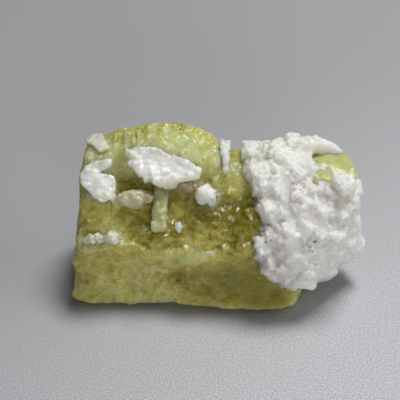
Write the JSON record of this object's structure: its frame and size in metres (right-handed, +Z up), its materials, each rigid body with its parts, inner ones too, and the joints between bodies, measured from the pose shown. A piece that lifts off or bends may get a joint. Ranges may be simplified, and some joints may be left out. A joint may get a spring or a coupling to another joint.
{
  "type": "brazilianite crystal specimen",
  "caption": "Chunky translucent yellow-green brazilianite crystal with a stepped top and an undercut front edge, white albite grown over its right end and in patches on top.",
  "frame": {"origin": "centre of the specimen's outer box, on the surface it rests on", "axes": "+X from the green end to the white end, +Y to the back, +Z up"},
  "size_m": [0.042, 0.019, 0.021],
  "materials": {
    "brazilianite": "translucent, frosted and striated outside, gemmy in places",
    "pale_brazilianite": "glassy, translucent",
    "albite": "milky, sugary, with small glinting faces",
    "cream_albite": "milky, smooth",
    "pink_feldspar": "dull, smooth",
    "rough_crumb": "rough",
    "clear_crystal": "glassy, bluish white"
  },
  "bodies": {
    "root": {"brazilianite_crystal": "brazilianite", "brazilianite_prism": "pale_brazilianite", "albite_cluster": "albite", "albite_ledge": "albite", "albite_shoulder": "albite", "albite_centre_grain": "albite", "albite_notch_wedge": "albite", "albite_front_grains": "albite", "albite_corner": "cream_albite", "feldspar_lobe": "pink_feldspar", "rough_crumb": "rough_crumb", "clear_crystal": "clear_crystal"}
  },
  "joints": []
}
